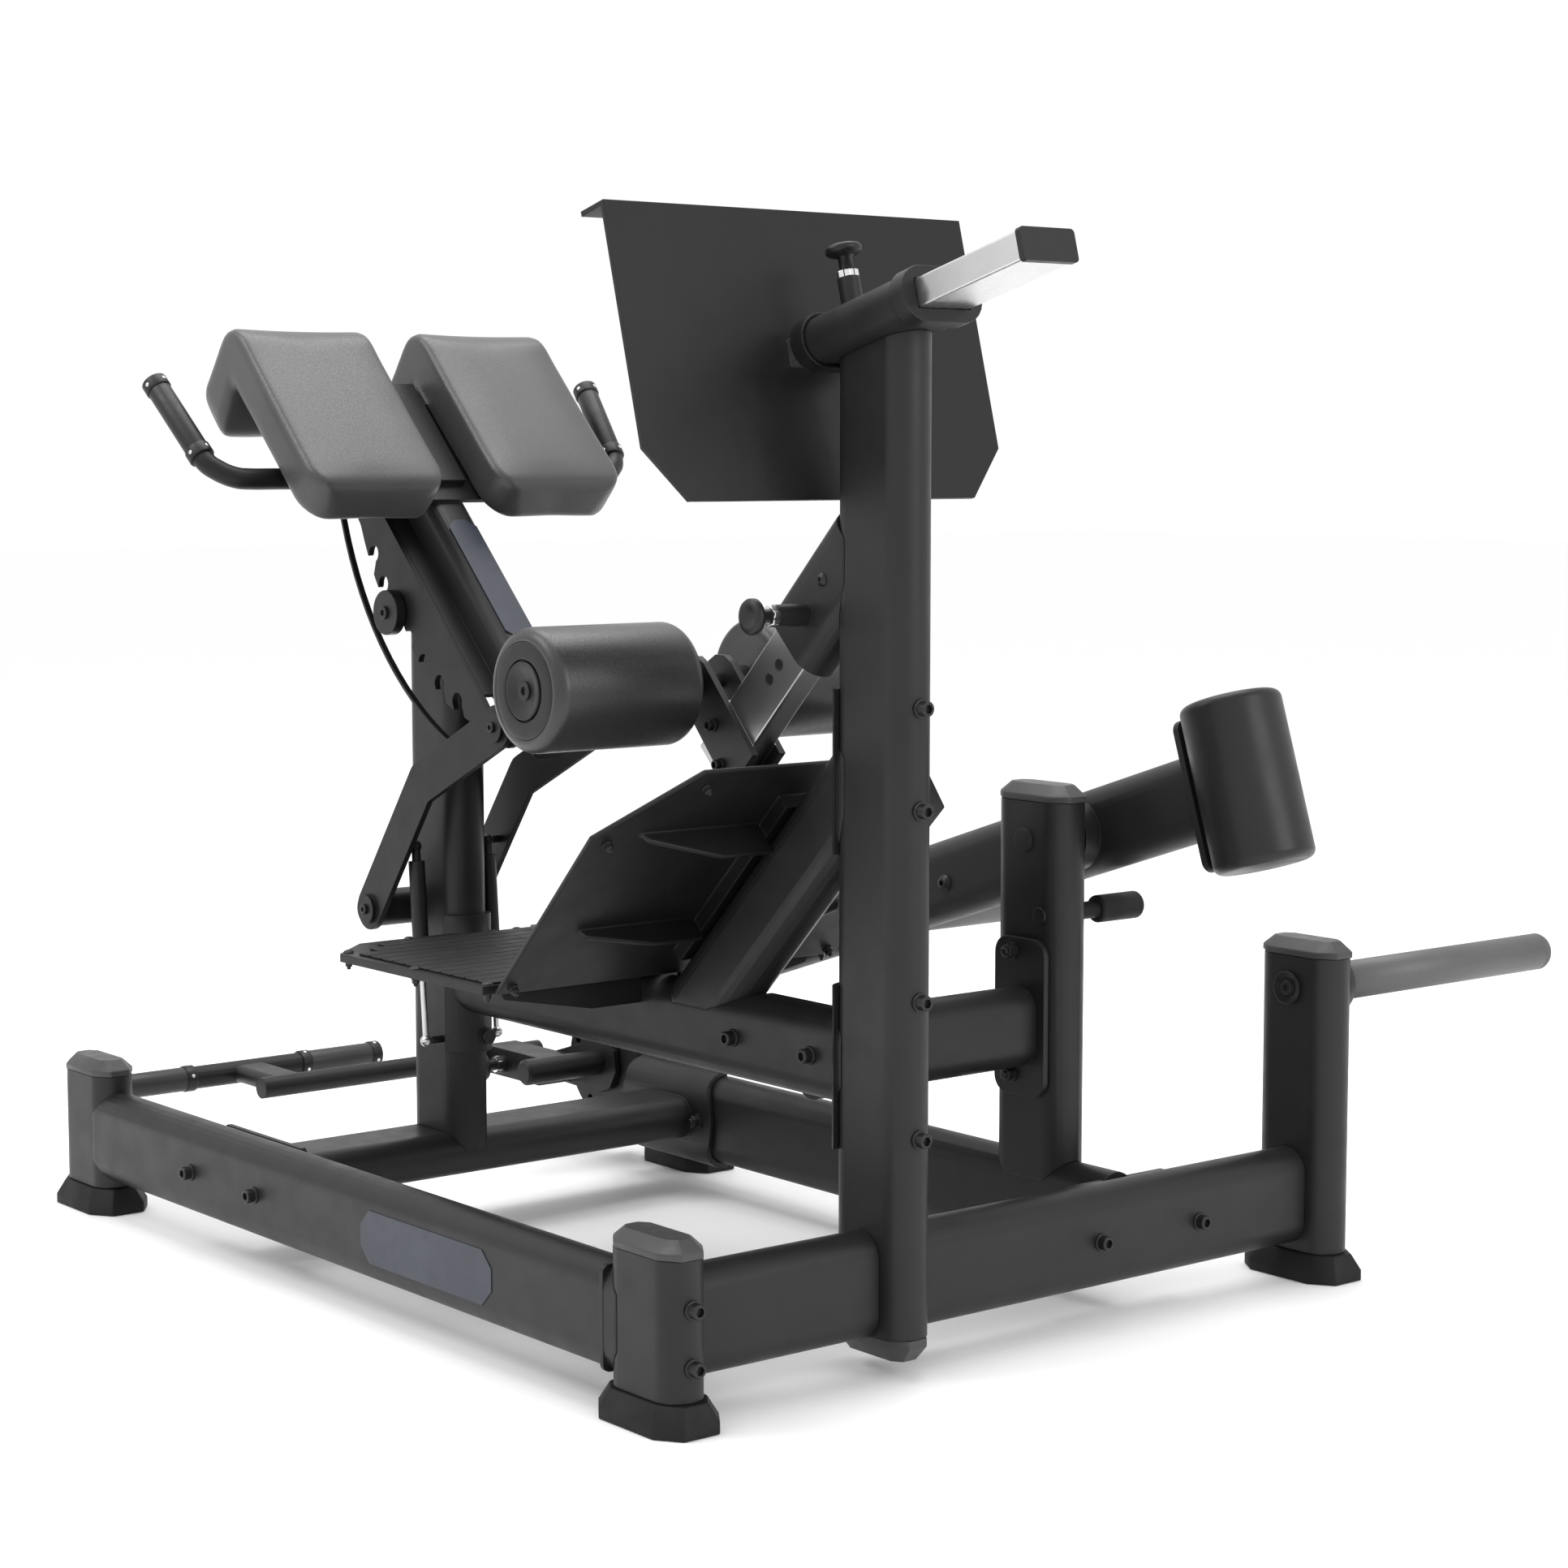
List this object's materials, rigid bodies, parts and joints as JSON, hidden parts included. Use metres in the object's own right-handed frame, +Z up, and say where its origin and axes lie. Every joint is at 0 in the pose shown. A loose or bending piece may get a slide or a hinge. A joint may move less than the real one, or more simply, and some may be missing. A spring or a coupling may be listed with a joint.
{
  "type": "hip extension bench with resistance lever",
  "caption": "Plate-loaded hip extension bench: split hip pads on a racked frame, sloped and upright foot plates, ankle rollers and a counterweighted side lever with a pull handle.",
  "frame": {"origin": "floor level under the centre of the bounding box", "axes": "+Z up; +Y from the tall front upright towards the hip pads and pull handle; +X towards the side with the resistance lever"},
  "size_m": [1.5492, 1.756, 1.328],
  "materials": {
    "frame_paint": "satin dark charcoal powder coat",
    "plate_paint": "satin black powder coat",
    "cap_plastic": "matt dark grey moulding",
    "black_plastic": "fine matt black moulding",
    "rubber": "matt black rubber",
    "counterweight_coat": "smooth satin black coating on a steel slug",
    "upholstery": "fine-grained charcoal vinyl",
    "slide_steel": "brushed zinc-plated steel",
    "horn_steel": "dark satin steel sleeve"
  },
  "bodies": {
    "frame": {"foot_front_left": "rubber", "foot_rear_left": "rubber", "foot_front_right": "rubber", "foot_rear_right": "rubber", "post_front_left": "frame_paint", "post_rear_left": "frame_paint", "post_front_right": "frame_paint", "post_rear_right": "frame_paint", "cap_front_left": "cap_plastic", "cap_rear_left": "cap_plastic", "cap_front_right": "cap_plastic", "cap_lever_post": "cap_plastic", "cap_upright": "cap_plastic", "rail_left": "frame_paint", "rail_front_near": "frame_paint", "rail_front_far": "frame_paint", "rail_cross": "frame_paint", "rail_right": "frame_paint", "upright": "frame_paint", "pad_post": "frame_paint", "main_beam": "frame_paint", "brace": "frame_paint", "lever_post": "frame_paint", "cross_beam": "frame_paint", "foot_plate_sloped": "plate_paint", "platform": "plate_paint", "head_tube": "frame_paint", "head_collar_front": "black_plastic", "head_collar_rear": "black_plastic", "ankle_tube": "frame_paint", "lock_pin": "black_plastic", "lever_bumper": "rubber", "storage_horn": "horn_steel"},
    "upper_slide": {"foot_plate_upright": "plate_paint", "upper_slide_bar": "slide_steel", "upper_slide_cap": "black_plastic"},
    "upper_pin": {"upper_pull_pin": "black_plastic"},
    "ankle_carriage": {"ankle_slide": "slide_steel"},
    "roller_left_body": {"roller_left": "upholstery"},
    "roller_right_body": {"roller_right": "upholstery"},
    "ankle_pin": {"ankle_pull_pin": "black_plastic"},
    "pad_arms": {"pad_arm_left": "plate_paint", "pad_arm_right": "plate_paint"},
    "pad_frame": {"pad_tube": "frame_paint", "handle_bar": "plate_paint", "hip_pad_left": "upholstery", "hip_pad_right": "upholstery", "rack_plate_left": "plate_paint", "rack_plate_right": "plate_paint"},
    "gas_rod_left": {"gas_spring_rod_left": "slide_steel"},
    "gas_rod_right": {"gas_spring_rod_right": "slide_steel"},
    "gas_cylinder_left": {"gas_spring_cylinder_left": "black_plastic"},
    "gas_cylinder_right": {"gas_spring_cylinder_right": "black_plastic"},
    "lever": {"lever_arm": "frame_paint", "counterweight": "counterweight_coat", "lever_weight_horn": "horn_steel", "drop_bar": "plate_paint", "index_drum": "plate_paint"},
    "pull_lever": {"t_lever": "plate_paint"},
    "pull_lever_pin": {"t_pull_pin": "black_plastic"}
  },
  "joints": [
    {"name": "upper_slide_adjust", "type": "slide", "parent": "frame", "child": "upper_slide", "axis": [0, 0.9659, -0.2588], "range_m": [0, 0.1]},
    {"name": "upper_pin_pull", "type": "slide", "parent": "frame", "child": "upper_pin", "axis": [0, 0.2588, 0.9659], "range_m": [0, 0.01], "stiffness_N_per_m": 600, "springref_m": -0.006},
    {"name": "ankle_slide_adjust", "type": "slide", "parent": "frame", "child": "ankle_carriage", "axis": [0, 0.7071, -0.7071], "range_m": [-0.075, 0.05]},
    {"name": "roller_left_spin", "type": "hinge", "parent": "ankle_carriage", "child": "roller_left_body", "pos_m": [-0.57165, -0.28516, 0.77683], "axis": [1, 0, 0], "continuous": true},
    {"name": "roller_right_spin", "type": "hinge", "parent": "ankle_carriage", "child": "roller_right_body", "pos_m": [-0.24565, -0.28516, 0.77683], "axis": [1, 0, 0], "continuous": true},
    {"name": "ankle_pin_pull", "type": "slide", "parent": "frame", "child": "ankle_pin", "axis": [-1, 0, 0], "range_m": [0, 0.01], "stiffness_N_per_m": 600, "springref_m": -0.006},
    {"name": "pad_lift", "type": "hinge", "parent": "frame", "child": "pad_arms", "pos_m": [-0.40865, 0.366, 0.435], "axis": [-1, 0, 0], "range_deg": [0, 19]},
    {"name": "pad_tilt", "type": "hinge", "parent": "pad_arms", "child": "pad_frame", "pos_m": [-0.40865, 0.052, 0.703], "axis": [1, 0, 0], "range_deg": [0, 27.6]},
    {"name": "gas_rod_left_swing", "type": "hinge", "parent": "frame", "child": "gas_rod_left", "pos_m": [-0.46565, 0.268, 0.264], "axis": [-1, 0, 0], "range_deg": [0, 6.5]},
    {"name": "gas_cylinder_left_slide", "type": "slide", "parent": "gas_rod_left", "child": "gas_cylinder_left", "axis": [0, 0.0761, 0.9971], "range_m": [0, 0.0252]},
    {"name": "gas_rod_right_swing", "type": "hinge", "parent": "frame", "child": "gas_rod_right", "pos_m": [-0.35165, 0.268, 0.264], "axis": [-1, 0, 0], "range_deg": [0, 6.5]},
    {"name": "gas_cylinder_right_slide", "type": "slide", "parent": "gas_rod_right", "child": "gas_cylinder_right", "axis": [0, 0.0761, 0.9971], "range_m": [0, 0.0252]},
    {"name": "lever_swing", "type": "hinge", "parent": "frame", "child": "lever", "pos_m": [0.08635, -0.441, 0.57], "axis": [1, 0, 0], "range_deg": [0, 28]},
    {"name": "pull_lever_swing", "type": "hinge", "parent": "lever", "child": "pull_lever", "pos_m": [-0.01065, 0.503, 0.146], "axis": [1, 0, 0], "range_deg": [-10, 45]},
    {"name": "pull_lever_pin_pull", "type": "slide", "parent": "pull_lever", "child": "pull_lever_pin", "axis": [-1, 0, 0], "range_m": [0, 0.01], "stiffness_N_per_m": 600, "springref_m": -0.006}
  ],
  "couplings": [
    {"joint": "pad_tilt", "follows": "pad_lift", "ratio": 1.4474},
    {"joint": "gas_rod_left_swing", "follows": "pad_lift", "ratio": 0.337},
    {"joint": "gas_cylinder_left_slide", "follows": "pad_lift", "m_per_rad": 0.0745},
    {"joint": "gas_rod_right_swing", "follows": "pad_lift", "ratio": 0.337},
    {"joint": "gas_cylinder_right_slide", "follows": "pad_lift", "m_per_rad": 0.0745}
  ]
}
